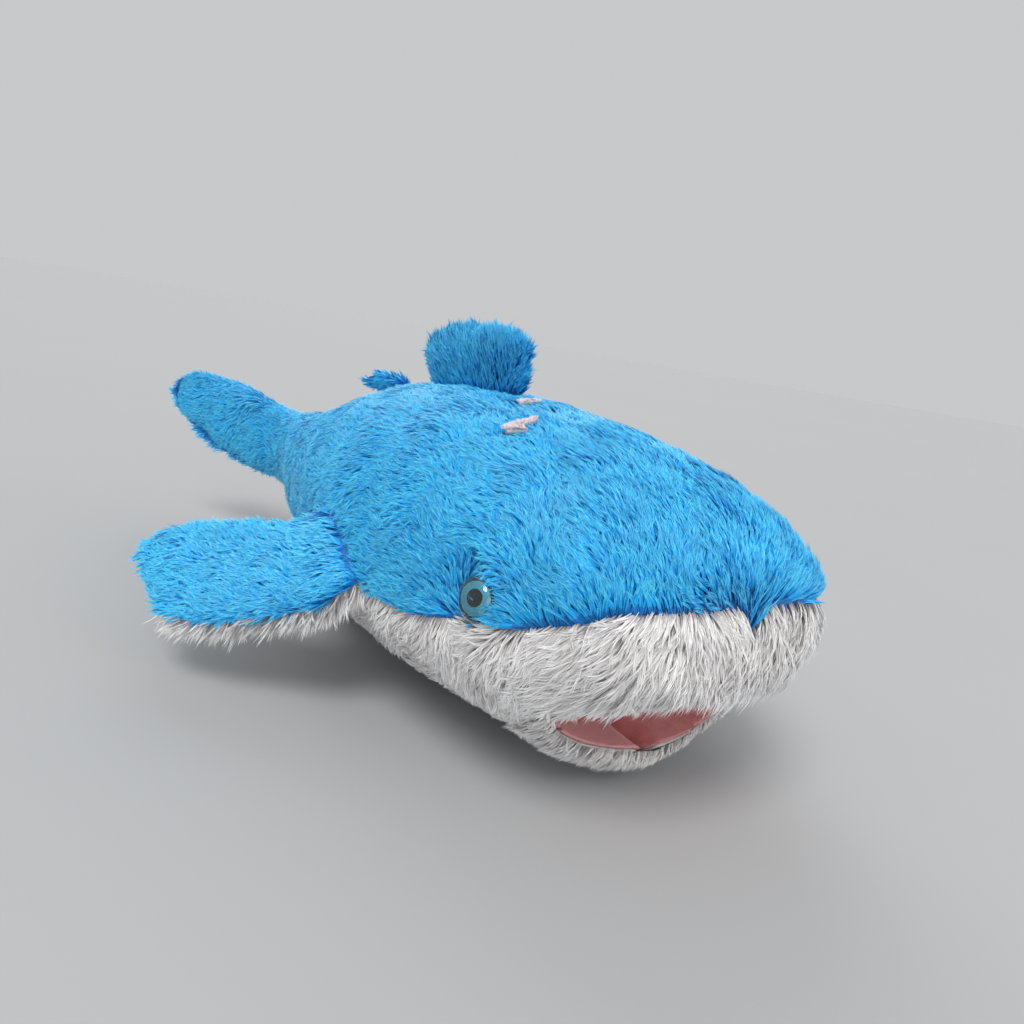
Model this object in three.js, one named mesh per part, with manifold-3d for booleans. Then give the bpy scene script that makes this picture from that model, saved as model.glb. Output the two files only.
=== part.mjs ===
// Plush shark: a long-pile blue and white stuffed toy lying on its belly.
// Units are millimetres. The shark faces -Y, +Z is up and its right side is -X.
// Every outer surface is the envelope of the brushed pile.
import * as THREE from "three";
import { mergeVertices } from "three/addons/utils/BufferGeometryUtils.js";
import Module from "manifold-3d";

// ---------- driving dimensions ----------
const LENGTH = 375; // snout to tail tip, along Y
const TAIL_LEAN = 85.4; // how far the tail tip lies to the shark's right
const LEAN_START = 150; // the spine is straight up to here, measured from the snout
const SKIN = 4; // plush fabric with its pile pressed flat
const GAP = 0.3; // between touching pieces
const HEM = GAP / 2; // each side of a seam

// Body sections: distance from the snout, half width, top, bottom and height of the widest line.
const BODY_ROWS = [
  [0, 0.6, 67, 65, 66],
  [2, 26, 79, 52, 66],
  [8, 43, 87, 41, 64],
  [20, 56, 96, 22, 60],
  [36, 64, 104, 6, 56],
  [60, 70, 110, 3, 52],
  [95, 76, 114, -2, 51],
  [140, 79, 116, -5, 51],
  [185, 71, 113, -5, 52],
  [220, 55, 102, 0, 54],
  [250, 38, 89, 14, 56],
  [270, 24, 83, 29, 59],
  [292, 11, 81, 38, 61],
  [318, 9, 87, 41, 65],
  [343, 7.6, 90, 48, 69],
  [361, 6, 89, 56, 72],
  [371, 3.6, 84, 63, 74],
  [375, 0.6, 76, 73, 74.5],
];
// Powers of the section's sine and cosine: 1 is an ellipse, less is boxier and more is leaner.
const UPPER_FULLNESS = 0.84;
const LOWER_FULLNESS = 1.15;
// Where the white plush starts below the blue, as distance from the snout and height.
const SEAM_LINE = [
  [-20, 76],
  [6, 74],
  [18, 67],
  [34, 60],
  [58, 54],
  [78, 47],
  [95, 48],
  [140, 47],
  [190, 43],
  [230, 38],
  [262, 42],
  [320, 50],
];
const MUZZLE_END = 62; // the white muzzle meets the belly here

// Mouth pocket: distance from the snout, half width, top, bottom and height of its corners.
const MOUTH_ROWS = [
  [2, 43, 44, 17.5, 37],
  [26, 43, 42, 17.5, 35],
  [46, 37, 37, 18, 31],
  [63, 24, 30, 19, 26],
  [71, 3, 25.5, 22.5, 24],
];
const LINING = 1.6;
const JAW_HALF_WIDTH = 38;
// The jaw's upper edge inside the cheeks, as distance from the snout and height.
const JAW_TOP = [
  [71, 24],
  [46, 31],
  [26, 35],
  [-20, 38],
];
const JAW_HINGE = { s: 81, z: 17 };
const JAW_CLEARANCE = 2.5; // room behind the jaw for its swing
const LIP_SETBACK = 1;

// The tail and the tail fin each turn in a round seat about an upright hinge on the spine.
const TAIL_HINGE = { s: 248, radius: 42 };
const CAUDAL_HINGE = { s: 292, radius: 12 };
const SEAT_GAP = 0.6;

// Sewn-on fins. Each hinge lies along the fin's root, turned down by pitch at its front end. Sweep is
// how far the tip lies behind the root, chord is half the fin's width and thick half its thickness.
const PECTORAL = {
  s: 126,
  z: 48,
  hingeX: 86.5,
  droop: 42,
  pitch: 32,
  sweep: 30,
  length: 63,
  chord: 23,
  thick: 7,
};
const DORSAL = { s: 171, z: 122, lean: -6, pitch: -6.5, sweep: 4, length: 19, chord: 42, thick: 7 };
const SECOND_DORSAL = {
  s: 220,
  z: 106.2,
  lean: -50,
  pitch: -22,
  sweep: 18,
  length: 13,
  chord: 9,
  thick: 3.5,
};
const FIN_SKIN = 2.4;
// A sewn fin's shape: share of its length, of its half thickness and of its half chord.
const FIN_OUTLINE = [
  [0.3, 1, 1],
  [0.65, 0.92, 1.04],
  [0.87, 0.68, 0.84],
  [0.97, 0.38, 0.52],
  [1, 0.08, 0.2],
];

const EYE = { s: 48, height: 64, radius: 7, dome: 5, seat: 3, plate: 1.4 };
const STEM = { radius: 2, length: 12 };
const WASHER = { radius: 6, thick: 1.6, depth: 6.4 }; // depth of its top below the pile

// Two small stitched marks on the back, right of the middle: a tick and a dash. Each has straight
// arms that start at one point and run at an angle from +X towards the tail.
const MARKS = {
  lower: {
    s: 87.5,
    x: -38,
    width: 2.8,
    arms: [
      { angle: 9, length: 14 },
      { angle: -42, length: 7 },
    ],
  },
  upper: { s: 114, x: -16, width: 1.8, arms: [{ angle: 14, length: 12 }] },
};
const MARK_THICK = 0.8;

const SIDES = { right: -1, left: 1 };
const BODY_STEPS = 2; // rings between two rows of a table
const BODY_SEGMENTS = 24;
const FIN_SEGMENTS = 12;
const POST_SEGMENTS = 48;
const FAR = 260; // reach of a cutting block, past everything
const FRONT = -20; // where a cutting block starts, ahead of the snout

const COLORS = {
  blue: 0x35a6e6,
  white: 0xe9e7e4,
  pink: 0xd98b8c,
  stuffing: 0xf4f3ee,
  iris: 0x2f8ea0,
  clear: 0xbfdfe6,
  washer: 0xd9d9d9,
  mark: 0xf0ccd2,
};

// ---------- frame helpers ----------
const rad = THREE.MathUtils.degToRad;
const yAt = (s) => s - LENGTH / 2;

function spineX(s) {
  const t = Math.max(0, (s - LEAN_START) / (LENGTH - LEAN_START));
  return -TAIL_LEAN * t ** 1.5;
}

// Unit vector to the shark's left, square to the spine in plan.
function sideways(s) {
  const along = new THREE.Vector3(spineX(s + 0.5) - spineX(s - 0.5), 1, 0).normalize();
  return new THREE.Vector3(along.y, -along.x, 0);
}

function spinePoint(s, lateral, z) {
  return new THREE.Vector3(spineX(s), yAt(s), z).addScaledVector(sideways(s), lateral);
}

// ---------- solids ----------
const wasm = await Module();
wasm.setup();

function solidOf(geometry) {
  const bare = new THREE.BufferGeometry();
  bare.setAttribute("position", geometry.getAttribute("position"));
  if (geometry.index) bare.setIndex(geometry.index);
  const merged = mergeVertices(bare, 1e-4);
  return new wasm.Manifold(
    new wasm.Mesh({
      numProp: 3,
      vertProperties: new Float32Array(merged.getAttribute("position").array),
      triVerts: new Uint32Array(merged.index.array),
    }),
  );
}

// A closed solid through rings of points, each ring running the same way round, with flat ends.
function loft(rings) {
  const count = rings[0].length;
  const points = rings.flat();
  const triangles = [];
  for (let i = 0; i < rings.length - 1; i++) {
    for (let j = 0; j < count; j++) {
      const a = i * count + j;
      const b = i * count + ((j + 1) % count);
      triangles.push(a, b, a + count, b, b + count, a + count);
    }
  }
  for (const [ring, start, flip] of [
    [rings[0], 0, true],
    [rings.at(-1), (rings.length - 1) * count, false],
  ]) {
    const centre = new THREE.Vector3();
    ring.forEach((p) => centre.addScaledVector(p, 1 / count));
    points.push(centre);
    for (let j = 0; j < count; j++) {
      const pair = [start + j, start + ((j + 1) % count)];
      if (flip) pair.reverse();
      triangles.push(points.length - 1, ...pair);
    }
  }
  const geometry = new THREE.BufferGeometry().setFromPoints(points);
  geometry.setIndex(triangles);
  const made = solidOf(geometry);
  return made.volume() > 0 ? made : solidOf(turnedInsideOut(geometry));
}

function turnedInsideOut(geometry) {
  const index = Array.from(geometry.index.array);
  for (let i = 0; i < index.length; i += 3) [index[i + 1], index[i + 2]] = [index[i + 2], index[i + 1]];
  return geometry.clone().setIndex(index);
}

// Rows of numbers, smoothed with a Catmull-Rom curve that passes through each row.
function smoothRows(rows, steps) {
  const at = (i) => rows[THREE.MathUtils.clamp(i, 0, rows.length - 1)];
  const out = [];
  for (let i = 0; i < rows.length - 1; i++) {
    for (let k = 0; k < steps; k++) {
      const t = k / steps;
      out.push(
        rows[i].map((_, c) => {
          const [p0, p1, p2, p3] = [at(i - 1)[c], at(i)[c], at(i + 1)[c], at(i + 2)[c]];
          const bend = 2 * p0 - 5 * p1 + 4 * p2 - p3;
          const twist = 3 * p1 - p0 - 3 * p2 + p3;
          return 0.5 * (2 * p1 + (p2 - p0) * t + bend * t * t + twist * t * t * t);
        }),
      );
    }
  }
  out.push(rows.at(-1));
  return out;
}

// One egg-shaped section of a body row, drawn inwards by inset and never below the floor.
function sectionRing([s, half, top, bottom, wide], inset, segments) {
  const endShift = inset * (Math.max(0, 1 - s / 60) - Math.max(0, 1 - (LENGTH - s) / 60));
  const a = Math.max(half - inset, 0.4);
  const up = Math.max(top - inset - wide, 0.4);
  const down = Math.max(wide - bottom - inset, 0.4);
  const ring = [];
  for (let j = 0; j < segments; j++) {
    const angle = (2 * Math.PI * j) / segments;
    const c = Math.cos(angle);
    const n = Math.sin(angle);
    const power = n > 0 ? UPPER_FULLNESS : LOWER_FULLNESS;
    const lateral = a * Math.sign(c) * Math.abs(c) ** power;
    const z = wide + (n > 0 ? up : down) * Math.sign(n) * Math.abs(n) ** power;
    ring.push(spinePoint(s + endShift, lateral, Math.max(z, inset)));
  }
  return ring;
}

function bodySolid(inset) {
  return loft(smoothRows(BODY_ROWS, BODY_STEPS).map((row) => sectionRing(row, inset, BODY_SEGMENTS)));
}

// The mouth pocket, made larger all round by grow, open towards the front.
function mouthSolid(grow) {
  const rings = smoothRows(MOUTH_ROWS, BODY_STEPS).map(([s, half, top, bottom, corner]) => {
    const ring = [];
    for (let j = 0; j < FIN_SEGMENTS; j++) {
      const angle = (2 * Math.PI * j) / FIN_SEGMENTS;
      const rise = Math.sin(angle);
      const reach = rise > 0 ? top + grow - corner : corner - bottom + grow;
      const z = corner + reach * rise;
      ring.push(new THREE.Vector3((half + grow) * Math.cos(angle), yAt(s), z));
    }
    return ring;
  });
  const tip = new THREE.Vector3(0, grow, 0);
  rings.push(rings.at(-1).map((p) => p.clone().add(tip)));
  return loft(rings);
}

// ---------- cutting blocks ----------
function extruded(outline, depth) {
  const shape = new THREE.Shape(outline.map(([u, v]) => new THREE.Vector2(u, v)));
  return new THREE.ExtrudeGeometry(shape, { depth, bevelEnabled: false });
}

// A block with its outline given as distance from the snout and height, from x = low to x = high.
function sideBlock(outline, low = -FAR, high = FAR) {
  const geometry = extruded(
    outline.map(([s, z]) => [yAt(s), z]),
    high - low,
  );
  const turn = new THREE.Matrix4().makeBasis(
    new THREE.Vector3(0, 1, 0),
    new THREE.Vector3(0, 0, 1),
    new THREE.Vector3(1, 0, 0),
  );
  return solidOf(geometry.applyMatrix4(turn).translate(low, 0, 0));
}

// A block with its outline given in plan, as x and y.
function planBlock(outline) {
  return solidOf(extruded(outline, 2 * FAR).translate(0, 0, -FAR));
}

function belowSeam(shift) {
  const curve = new THREE.SplineCurve(SEAM_LINE.map(([s, z]) => new THREE.Vector2(s, z)));
  const edge = curve.getPoints(18).map((p) => [p.x, p.y + shift]);
  return sideBlock([...edge, [LENGTH, edge.at(-1)[1]], [LENGTH, -FAR], [edge[0][0], -FAR]]);
}

// Everything on one side of the spine, at least HEM away from it.
function sideOfSpine(side) {
  const edge = [];
  for (let s = FRONT; s <= LENGTH + 15; s += s < LEAN_START ? 85 : 15) {
    const p = spinePoint(s, side * HEM, 0);
    edge.push([p.x, p.y]);
  }
  return planBlock([...edge, [side * FAR, edge.at(-1)[1]], [side * FAR, edge[0][1]]]);
}

// Everything in front of a hinge on the spine and outside its round seat.
function aheadOf({ s, radius }) {
  return hingeBlock(s, -1).subtract(hingePost(s, radius + SEAT_GAP));
}

// Everything behind a hinge on the spine, with the round post that turns in the seat.
function behind({ s, radius }) {
  return hingeBlock(s, 1).add(hingePost(s, radius));
}

function hingeBlock(s, direction) {
  const centre = spinePoint(s, 0, 0);
  const across = sideways(s).multiplyScalar(FAR);
  const along = new THREE.Vector3(-across.y, across.x, 0).multiplyScalar(3 * direction);
  const corners = [
    centre.clone().sub(across),
    centre.clone().add(across),
    centre.clone().add(across).add(along),
    centre.clone().sub(across).add(along),
  ];
  return planBlock(corners.map((p) => [p.x, p.y]));
}

function hingePost(s, radius) {
  const { x, y } = spinePoint(s, 0, 0);
  const post = new THREE.CylinderGeometry(radius, radius, 2 * FAR, POST_SEGMENTS).rotateX(Math.PI / 2);
  return solidOf(post.translate(x, y, 0));
}

// The jaw's own space: under the mouth, between the cheeks and in front of the throat.
function jawBlock(grow) {
  const rear = JAW_HINGE.s + (grow > 0 ? JAW_CLEARANCE : 0);
  const lift = grow > 0 ? JAW_CLEARANCE : 0;
  const outline = [
    [FRONT, -FAR],
    [rear, -FAR],
    [rear, JAW_TOP[0][1] + lift],
    ...JAW_TOP.map(([s, z]) => [s, z + lift]),
  ];
  return sideBlock(outline, -JAW_HALF_WIDTH - grow, JAW_HALF_WIDTH + grow);
}

// ---------- fins ----------
// A two-sided fin in its own frame: u out from the hinge, v along the hinge (+Y), w through it.
// Its root is rounded about the hinge, so that it turns without touching what it is sewn to.
function finSolid({ length, chord, thick, sweep }, inset) {
  const rows = [];
  const rootSteps = 2;
  const radius = thick - inset;
  for (let k = 0; k <= rootSteps; k++) {
    const angle = (Math.PI / 2) * ((k + 0.2) / (rootSteps + 0.2));
    rows.push([-radius * Math.cos(angle), radius * Math.sin(angle), chord * 0.9 - inset]);
  }
  for (const [share, half, reach] of FIN_OUTLINE) {
    const depth = Math.max(thick * half - inset, 0.25);
    rows.push([share * (length - inset), depth, Math.max(chord * reach - inset, 0.5)]);
  }
  const rings = rows.map(([u, half, wide]) => {
    const ring = [];
    for (let j = 0; j < FIN_SEGMENTS; j++) {
      const angle = (2 * Math.PI * j) / FIN_SEGMENTS;
      const v = (sweep * Math.max(u, 0)) / length + wide * Math.cos(angle);
      const w = half * Math.sign(Math.sin(angle)) * Math.abs(Math.sin(angle)) ** UPPER_FULLNESS;
      ring.push(new THREE.Vector3(u, v, w));
    }
    return ring;
  });
  return loft(rings);
}

function halfSpaceW(side) {
  const box = new THREE.BoxGeometry(4 * FAR, 4 * FAR, FAR);
  return solidOf(box.translate(0, 0, side * (FAR / 2 + HEM)));
}

// The two panels and the wadding of a fin, in the fin's own frame.
function finPieces(size) {
  const shell = finSolid(size, 0).subtract(finSolid(size, FIN_SKIN));
  return {
    front: shell.intersect(halfSpaceW(1)),
    back: shell.intersect(halfSpaceW(-1)),
    wadding: finSolid(size, FIN_SKIN + GAP),
  };
}

// ---------- materials and meshes ----------
const group = new THREE.Group();

function material(color, roughness = 0.9) {
  return new THREE.MeshStandardMaterial({ color, roughness, metalness: 0 });
}

// Adds a solid as a named mesh with a material of its own.
function add(name, made, look, parent = group) {
  const { vertProperties, triVerts } = made.getMesh();
  const geometry = new THREE.BufferGeometry();
  geometry.setAttribute("position", new THREE.BufferAttribute(vertProperties, 3));
  geometry.setIndex(new THREE.BufferAttribute(triVerts, 1));
  geometry.computeVertexNormals();
  const mesh = new THREE.Mesh(geometry, look.clone());
  mesh.name = name;
  parent.add(mesh);
}

const blue = material(COLORS.blue);
const white = material(COLORS.white);
const pink = material(COLORS.pink, 0.8);
const filling = material(COLORS.stuffing, 1);
const felt = material(COLORS.mark);

// ---------- eyes ----------
// The point of the body's surface at an eye, and the surface's normal there.
function eyeFrame(side) {
  const rows = smoothRows(BODY_ROWS, 8);
  const apart = ([s]) => Math.abs(s - EYE.s);
  const row = rows.reduce((best, r) => (apart(r) < apart(best) ? r : best));
  const next = rows[rows.indexOf(row) + 1];
  const surfaceAt = ([s, half, top, , wide], z) => {
    const n = ((z - wide) / (top - wide)) ** (1 / UPPER_FULLNESS);
    return new THREE.Vector3(side * half * Math.sqrt(1 - n * n) ** UPPER_FULLNESS, yAt(s), z);
  };
  const rise = 3;
  const here = surfaceAt(row, EYE.height);
  const alongBody = surfaceAt(next, EYE.height).sub(here);
  const upBody = surfaceAt(row, EYE.height + rise).sub(here);
  const normal = upBody.cross(alongBody).normalize();
  if (normal.x * side < 0) normal.negate();
  return { here, normal };
}

function lathed(profile, segments = 18) {
  const geometry = new THREE.LatheGeometry(
    profile.map(([r, z]) => new THREE.Vector2(r, z)),
    segments,
  );
  return geometry.rotateX(Math.PI / 2);
}

// Places a geometry that is round about +Z so that its axis lies along an eye's normal.
function atEye(geometry, { here, normal }) {
  const turn = new THREE.Quaternion().setFromUnitVectors(new THREE.Vector3(0, 0, 1), normal);
  return solidOf(geometry.applyQuaternion(turn).translate(here.x, here.y, here.z));
}

function eyePieces(side) {
  const frame = eyeFrame(side);
  const base = -EYE.seat + GAP;
  const rim = base + EYE.plate;
  const stemEnd = base - STEM.length;
  const plate = [
    [0, stemEnd],
    [STEM.radius, stemEnd],
    [STEM.radius, base],
    [EYE.radius, base],
    [EYE.radius, rim],
    [0, rim],
  ];
  const dome = [
    [0, rim + GAP],
    [EYE.radius, rim + GAP],
  ];
  const arcSteps = 4;
  for (let k = 1; k <= arcSteps; k++) {
    const angle = (Math.PI / 2) * (k / arcSteps);
    dome.push([k === arcSteps ? 0 : EYE.radius * Math.cos(angle), rim + GAP + EYE.dome * Math.sin(angle)]);
  }
  const washerTop = -WASHER.depth;
  const hole = STEM.radius + GAP;
  const washer = [
    [hole, washerTop - WASHER.thick],
    [WASHER.radius, washerTop - WASHER.thick],
    [WASHER.radius, washerTop],
    [hole, washerTop],
    [hole, washerTop - WASHER.thick],
  ];
  const rod = (radius, low, high) => lathed([[0, low], [radius, low], [radius, high], [0, high]]);
  return {
    iris: atEye(lathed(plate), frame),
    dome: atEye(lathed(dome), frame),
    washer: atEye(lathed(washer), frame),
    seat: atEye(rod(EYE.radius + GAP * 2, -EYE.seat, FAR / 8), frame),
    bore: atEye(rod(hole, -FAR / 8, 0), frame),
    chamber: atEye(rod(WASHER.radius + GAP, stemEnd - 1, washerTop + GAP), frame),
  };
}

// ---------- body ----------
const outer = bodySolid(0);
const inner = bodySolid(SKIN);
const fill = bodySolid(SKIN + GAP);
const pocket = mouthSolid(0);
const pocketWall = mouthSolid(LINING);
const pocketCut = mouthSolid(LINING + GAP);
const jawOwn = jawBlock(0);
const jawCut = jawBlock(GAP * 2);
const trunkZone = aheadOf(TAIL_HINGE);
const tailZone = behind(TAIL_HINGE).intersect(aheadOf(CAUDAL_HINGE));
const caudalZone = behind(CAUDAL_HINGE);
const skin = outer.subtract(inner);
const eyes = Object.fromEntries(Object.entries(SIDES).map(([name, side]) => [name, eyePieces(side)]));

// Everything between two distances from the snout.
function between(from, to) {
  return sideBlock([[from, -FAR], [to, -FAR], [to, FAR], [from, FAR]]);
}

const blueZone = between(FRONT, LENGTH).subtract(belowSeam(HEM));
const whiteZone = belowSeam(-HEM);
const muzzleZone = between(FRONT, MUZZLE_END - HEM);
const bellyZone = between(MUZZLE_END + HEM, LENGTH);

for (const [name, side] of Object.entries(SIDES)) {
  const half = skin.intersect(blueZone).intersect(sideOfSpine(side));
  const eye = eyes[name];
  const panel = half.intersect(trunkZone).subtract(eye.seat).subtract(eye.bore);
  add(`back_panel_${name}`, panel, blue);
  add(`tail_panel_${name}`, half.intersect(tailZone), blue);
  add(`eye_${name}_iris`, eye.iris, material(COLORS.iris, 0.3));
  add(`eye_${name}_dome`, eye.dome, material(COLORS.clear, 0.05));
  add(`eye_${name}_washer`, eye.washer, material(COLORS.washer, 0.5));
}

const whiteSkin = skin.intersect(whiteZone);
let fixedWhite = whiteSkin.subtract(jawCut).subtract(pocketCut);
for (const eye of Object.values(eyes)) fixedWhite = fixedWhite.subtract(eye.seat).subtract(eye.bore);
add("muzzle_panel", fixedWhite.intersect(muzzleZone), white);
add("belly_panel", fixedWhite.intersect(bellyZone).intersect(trunkZone), white);
add("tail_underside_panel", whiteSkin.intersect(tailZone), white);

let stuffing = fill.intersect(trunkZone).subtract(jawCut).subtract(pocketCut);
for (const eye of Object.values(eyes)) stuffing = stuffing.subtract(eye.bore).subtract(eye.chamber);
add("body_stuffing", stuffing, filling);
add("tail_stuffing", fill.intersect(tailZone), filling);

// ---------- mouth and jaw ----------
const lining = pocketWall.subtract(pocket).intersect(bodySolid(LIP_SETBACK));
add("mouth_lining_upper", lining.subtract(jawCut), pink);
add("mouth_lining_lower", lining.intersect(jawOwn), pink);
add("jaw_panel", skin.intersect(jawOwn).subtract(pocketCut), white);
add("jaw_stuffing", fill.intersect(jawOwn).subtract(pocketCut), filling);

// ---------- caudal fin ----------
for (const [name, side] of Object.entries(SIDES)) {
  add(`caudal_panel_${name}`, skin.intersect(caudalZone).intersect(sideOfSpine(side)), blue);
}
add("caudal_wadding", fill.intersect(caudalZone), filling);

// ---------- sewn-on fins ----------
// A fin's frame: its hinge is at the group's origin, its u axis is turned up by upAngle, and its
// front edge is then turned down by pitch.
function finGroup(s, x, z, upAngle, pitch = 0) {
  const frame = new THREE.Group();
  frame.position.set(x, yAt(s), z);
  frame.rotation.set(rad(pitch), -rad(upAngle), 0, "XYZ");
  group.add(frame);
  return frame;
}

for (const [name, side] of Object.entries(SIDES)) {
  const pieces = finPieces(PECTORAL);
  const angle = side > 0 ? -PECTORAL.droop : 180 + PECTORAL.droop;
  const frame = finGroup(PECTORAL.s, side * PECTORAL.hingeX, PECTORAL.z, angle, PECTORAL.pitch);
  add(`pectoral_${name}_upper_panel`, side > 0 ? pieces.front : pieces.back, blue, frame);
  add(`pectoral_${name}_lower_panel`, side > 0 ? pieces.back : pieces.front, white, frame);
  add(`pectoral_${name}_wadding`, pieces.wadding, filling, frame);
}

for (const [name, size] of Object.entries({ dorsal: DORSAL, second_dorsal: SECOND_DORSAL })) {
  const pieces = finPieces(size);
  const frame = finGroup(size.s, spineX(size.s), size.z, 90 - size.lean, size.pitch);
  add(`${name}_right_panel`, pieces.front, blue, frame);
  add(`${name}_left_panel`, pieces.back, blue, frame);
  if (name === "dorsal") add("dorsal_wadding", pieces.wadding, filling, frame);
}

// ---------- stitched marks on the back ----------
// A block over one arm of a mark, with a half-round at each end.
function armBlock({ s, x, width }, { angle, length }) {
  const radius = width / 2;
  const shape = new THREE.Shape();
  shape.absarc(length, 0, radius, -Math.PI / 2, Math.PI / 2, false);
  shape.absarc(0, 0, radius, Math.PI / 2, (3 * Math.PI) / 2, false);
  const outline = shape.getPoints(4).slice(0, -1);
  return planBlock(
    outline.map((p) => {
      p.rotateAround(new THREE.Vector2(), rad(angle));
      return [x + p.x, yAt(s) + p.y];
    }),
  );
}

const markShell = bodySolid(-GAP - MARK_THICK).subtract(bodySolid(-GAP));
const upperHalf = solidOf(new THREE.BoxGeometry(2 * FAR, 2 * FAR, FAR).translate(0, 0, FAR / 2 + 60));
for (const [name, mark] of Object.entries(MARKS)) {
  const plan = mark.arms.map((arm) => armBlock(mark, arm)).reduce((all, arm) => all.add(arm));
  add(`back_mark_${name}`, markShell.intersect(plan).intersect(upperHalf), felt);
}

export default group;
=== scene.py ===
import math

import bmesh
import bpy
import numpy as np
from mathutils import Matrix, Vector


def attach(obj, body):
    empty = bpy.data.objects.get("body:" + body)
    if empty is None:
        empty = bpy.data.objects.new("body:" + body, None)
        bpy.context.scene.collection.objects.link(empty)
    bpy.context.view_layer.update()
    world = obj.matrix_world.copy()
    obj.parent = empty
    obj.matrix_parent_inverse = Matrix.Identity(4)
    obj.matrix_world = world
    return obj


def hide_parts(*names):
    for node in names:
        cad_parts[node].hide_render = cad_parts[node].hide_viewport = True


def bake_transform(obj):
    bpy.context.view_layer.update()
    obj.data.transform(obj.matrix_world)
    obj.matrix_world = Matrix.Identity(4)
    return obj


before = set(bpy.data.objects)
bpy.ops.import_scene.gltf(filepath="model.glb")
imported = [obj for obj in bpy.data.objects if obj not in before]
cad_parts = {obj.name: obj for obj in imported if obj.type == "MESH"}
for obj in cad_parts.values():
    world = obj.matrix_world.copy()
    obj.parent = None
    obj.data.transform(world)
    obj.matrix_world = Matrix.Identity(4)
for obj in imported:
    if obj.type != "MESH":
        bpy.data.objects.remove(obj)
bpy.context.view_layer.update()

MM = 0.001
SCENE = bpy.context.scene
rng = np.random.default_rng(11)

# ---------------------------------------------------------------- dimensions, in millimetres
LENGTH = 375
TAIL_LEAN = 85.4
LEAN_START = 150
UPPER_FULLNESS = 0.84
LOWER_FULLNESS = 1.15
LINING = 1.4
BACKING = 4.2  # depth of the woven backing below the brushed pile's envelope
CHIN_BACKING = 2.8
BODY_TUFT = 8.5  # length of the pile on the body
LIP_TUFT = 7  # how much longer the pile of the upper lip is
FLOOR_GAP = 0.25  # least height of a strand above the floor
# distance from the snout, half width, top, bottom, height of the widest line
BODY_ROWS = np.array([
    [0, 0.6, 67, 65, 66], [2, 26, 79, 52, 66], [8, 43, 87, 41, 64], [20, 56, 96, 22, 60],
    [36, 64, 104, 6, 56], [60, 70, 110, 3, 52], [95, 76, 114, -2, 51], [140, 79, 116, -5, 51],
    [185, 71, 113, -5, 52], [220, 55, 102, 0, 54], [250, 38, 89, 14, 56], [270, 24, 83, 29, 59],
    [292, 11, 81, 38, 61], [318, 9, 87, 41, 65], [343, 7.6, 90, 48, 69], [361, 6, 89, 56, 72],
    [371, 3.6, 84, 63, 74], [375, 0.6, 76, 73, 74.5],
], float)
# distance from the snout, height of the edge between blue and white
SEAM_LINE = np.array([
    [-20, 76], [6, 74], [18, 67], [34, 60], [58, 54], [78, 47], [95, 48], [140, 47],
    [190, 43], [230, 38], [262, 42], [320, 50],
], float)
# distance from the snout, half width, top, bottom, height of the corner
MOUTH_ROWS = np.array([
    [2, 43, 44, 17.5, 37], [26, 43, 42, 17.5, 35], [46, 37, 37, 18, 31], [63, 24, 30, 19, 26],
    [71, 3, 25.5, 22.5, 24],
], float)
JAW_HALF_WIDTH = 38
JAW_BACK = 81
# distance from the snout and height along the top of the lower lip's block
JAW_TOP = [(71, 24), (46, 31), (26, 35), (-20, 38)]
TAIL_END = 279  # where the body's skin hands over to the tail fin's
EYE = {"s": 48, "height": 64, "radius": 7.0}
# Outlines of the fins: share of the way to the tip, share of the half thickness, share of the chord.
OUTLINE_ROWS = np.array([
    [-1, 0.9, 0.84], [0, 1, 0.93], [0.3, 1, 1], [0.65, 0.92, 1.04], [0.87, 0.68, 0.84],
    [0.97, 0.38, 0.52], [1, 0.08, 0.2],
])
# The dorsal fin's wadding rounds it into a mound.
MOUND_ROWS = np.array([
    [-1, 0.9, 0.86], [0, 1, 0.93], [0.35, 0.93, 0.96], [0.6, 0.82, 0.88], [0.8, 0.64, 0.7],
    [0.93, 0.42, 0.46], [1, 0.1, 0.2],
])
# Place of a fin's hinge (s, x, z), its turn in degrees, and its sizes. Rooted is how far it goes
# into the body's pile beyond its own half thickness.
PECTORAL = {
    "s": 126, "x": 86.5, "z": 48, "up": -42, "pitch": 32,
    "sweep": 30, "length": 63, "chord": 23, "thick": 7, "rooted": 9,
}
DORSAL = {
    "s": 171, "z": 122, "up": 96, "pitch": -6.5,
    "sweep": 4, "length": 19, "chord": 42, "thick": 7, "rooted": 4,
}
SECOND_DORSAL = {
    "s": 220, "z": 106.2, "up": 140, "pitch": -22,
    "sweep": 18, "length": 13, "chord": 9, "thick": 3.5, "rooted": 4,
}
# Each mark has straight arms (angle from +X towards the tail, length) that start at one point.
MARKS = {
    "back_mark_lower": {"s": 87.5, "x": -38, "width": 2.2, "arms": [(9, 14), (-42, 7)]},
    "back_mark_upper": {"s": 114, "x": -16, "width": 1.3, "arms": [(14, 12)]},
}

# ---------------------------------------------------------------- camera, light and floor
CAMERA = {"at": (-182, -311.5, 137.2), "azimuth": -35.7, "elevation": 12.6, "roll": 9.5, "lens": 27.04}


def add_camera():
    az, el, roll = (math.radians(CAMERA[k]) for k in ("azimuth", "elevation", "roll"))
    back = Vector((math.sin(az) * math.cos(el), -math.cos(az) * math.cos(el), math.sin(el)))
    right = Vector((0, 0, 1)).cross(back).normalized()
    up = back.cross(right)
    tilted = right * math.cos(roll) + up * math.sin(roll)
    data = bpy.data.cameras.new("camera")
    data.lens = CAMERA["lens"]
    data.sensor_width = 36
    data.clip_start = 0.01
    camera = bpy.data.objects.new("camera", data)
    turn = Matrix((tilted, back.cross(tilted), back)).transposed().to_4x4()
    camera.matrix_world = Matrix.Translation(Vector(CAMERA["at"]) * MM) @ turn
    SCENE.collection.objects.link(camera)
    SCENE.camera = camera


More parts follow.
